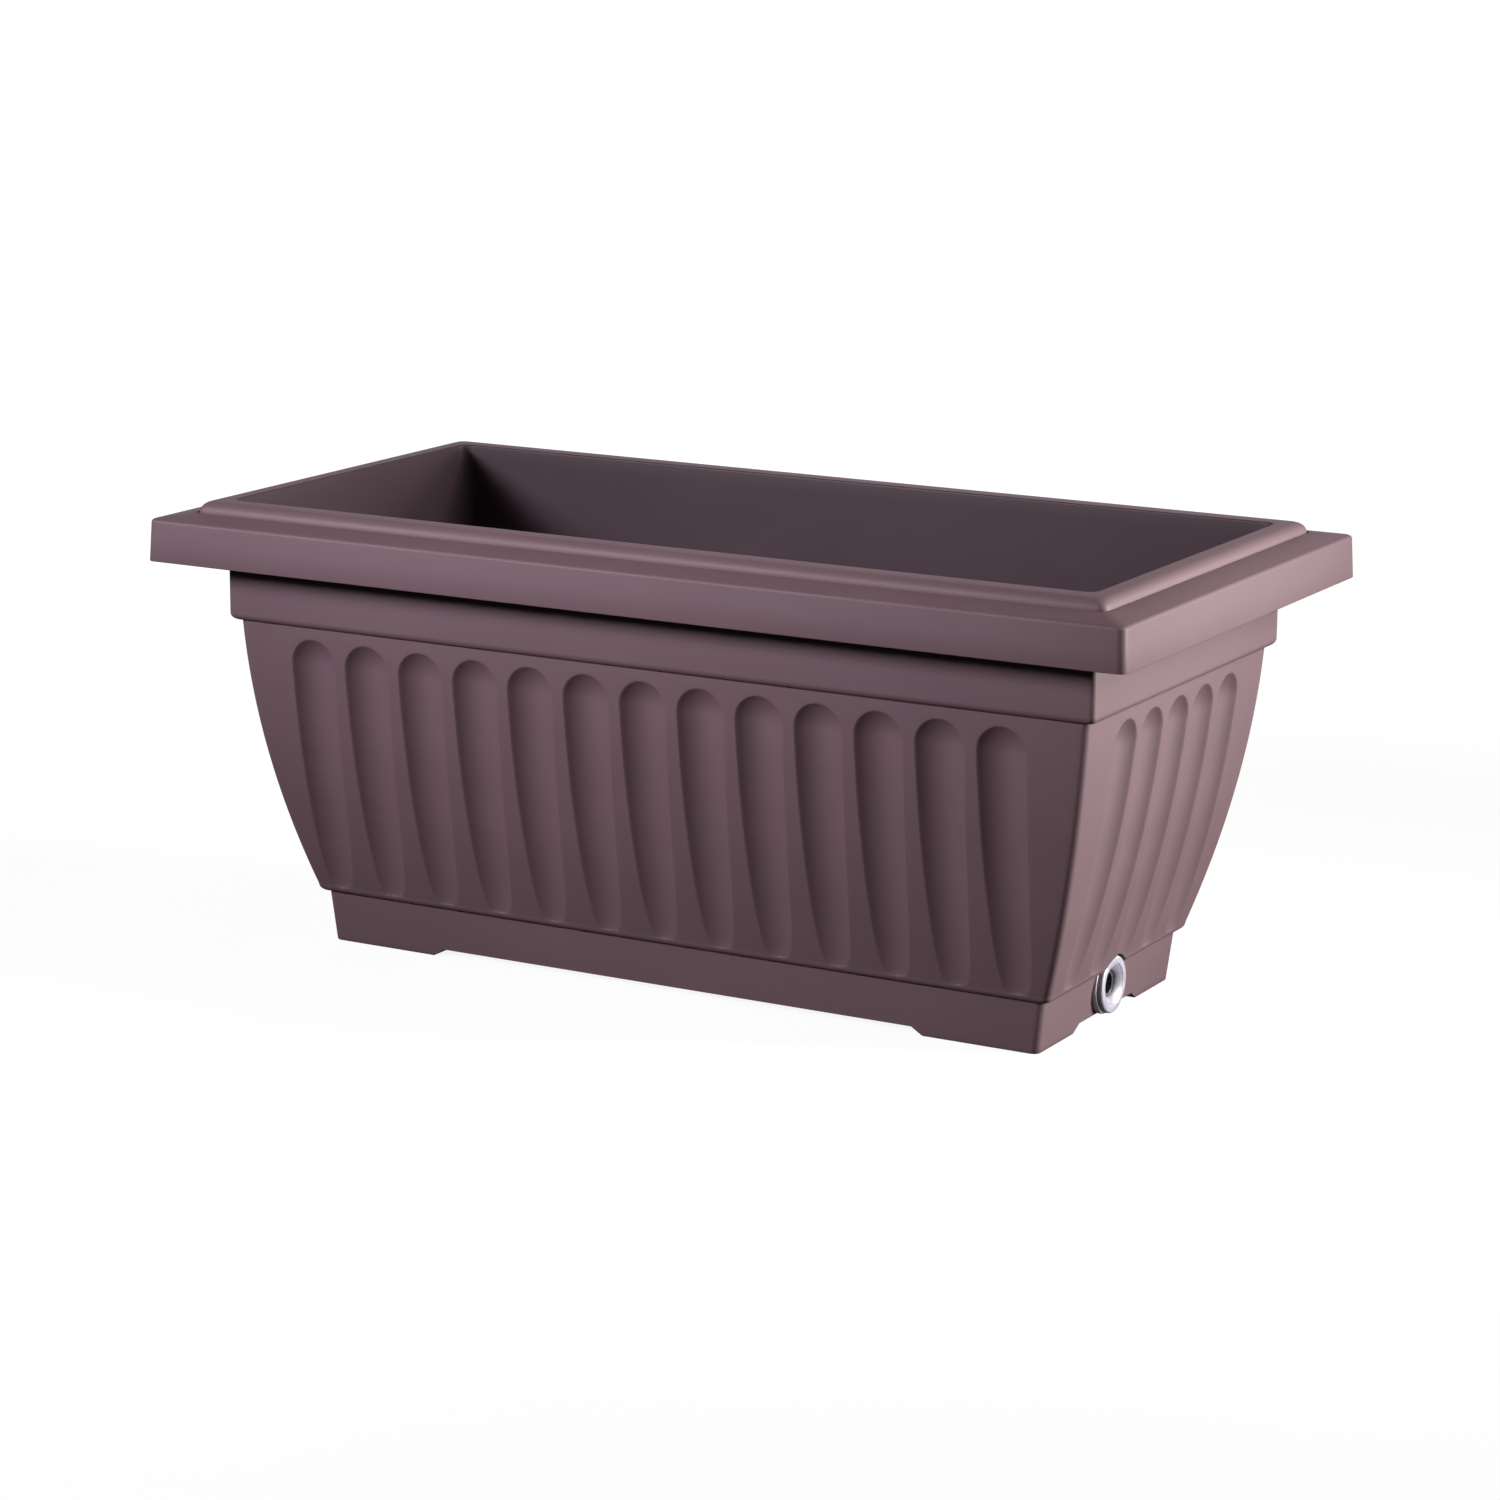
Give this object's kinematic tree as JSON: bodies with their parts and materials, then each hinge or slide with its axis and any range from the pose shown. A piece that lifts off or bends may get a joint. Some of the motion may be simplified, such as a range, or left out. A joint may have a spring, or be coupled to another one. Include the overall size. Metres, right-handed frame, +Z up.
{
  "type": "self-watering trough planter",
  "caption": "Rectangular fluted trough planter with a stepped rim, a raised perforated platform over a water reservoir, wick cups, fill tube, float gauge and swivelling overflow.",
  "frame": {"origin": "centre of the footprint, on the ground", "axes": "+Z up, +X along the trough towards the drain end, -Y to the front"},
  "size_m": [0.6, 0.31, 0.2585],
  "materials": {
    "box_plastic": "satin moulded plum-brown",
    "silicone": "translucent natural silicone",
    "pipe_plastic": "satin black",
    "insert_plastic": "matte recycled dark grey",
    "cord": "braided undyed cotton",
    "pin_steel": "drawn stainless",
    "float_plastic": "off-white closed-cell foam and nylon",
    "clear_plastic": "clear moulded acrylic",
    "flag_plastic": "signal red"
  },
  "bodies": {
    "trough": {"planter_box": "box_plastic", "drain_grommet": "silicone"},
    "overflow_pipe": {"overflow_elbow": "pipe_plastic", "overflow_strainer": "pipe_plastic"},
    "platform": {"platform_left": "insert_plastic", "platform_right": "insert_plastic", "support_legs_left": "insert_plastic", "support_legs_right": "insert_plastic", "joining_clips": "insert_plastic", "wick_cords": "cord", "fill_tube": "pipe_plastic", "hinge_pin": "pin_steel", "gauge_sleeve": "pipe_plastic", "gauge_bush": "float_plastic", "gauge_lens": "clear_plastic"},
    "cup_left": {"wick_cup_left": "insert_plastic"},
    "cup_right": {"wick_cup_right": "insert_plastic"},
    "fill_lid": {"fill_cap": "pipe_plastic"},
    "float_gauge": {"gauge_float": "float_plastic", "gauge_rod": "pin_steel", "gauge_flag": "flag_plastic"}
  },
  "joints": [
    {"name": "overflow_swivel", "type": "hinge", "parent": "trough", "child": "overflow_pipe", "pos_m": [0.22, -0.0045, 0.02], "axis": [1, 0, 0], "range_deg": [-90, 90]},
    {"name": "platform_lift", "type": "slide", "parent": "trough", "child": "platform", "axis": [0, 0, 1], "range_m": [0, 0.27]},
    {"name": "cup_left_lift", "type": "slide", "parent": "platform", "child": "cup_left", "axis": [0, 0, 1], "range_m": [0, 0.09]},
    {"name": "cup_right_lift", "type": "slide", "parent": "platform", "child": "cup_right", "axis": [0, 0, 1], "range_m": [0, 0.09]},
    {"name": "fill_cap_hinge", "type": "hinge", "parent": "platform", "child": "fill_lid", "pos_m": [-0.165, -0.084, 0.231], "axis": [1, 0, 0], "range_deg": [0, 110]},
    {"name": "float_rise", "type": "slide", "parent": "platform", "child": "float_gauge", "axis": [0, 0, 1], "range_m": [0, 0.033]}
  ]
}
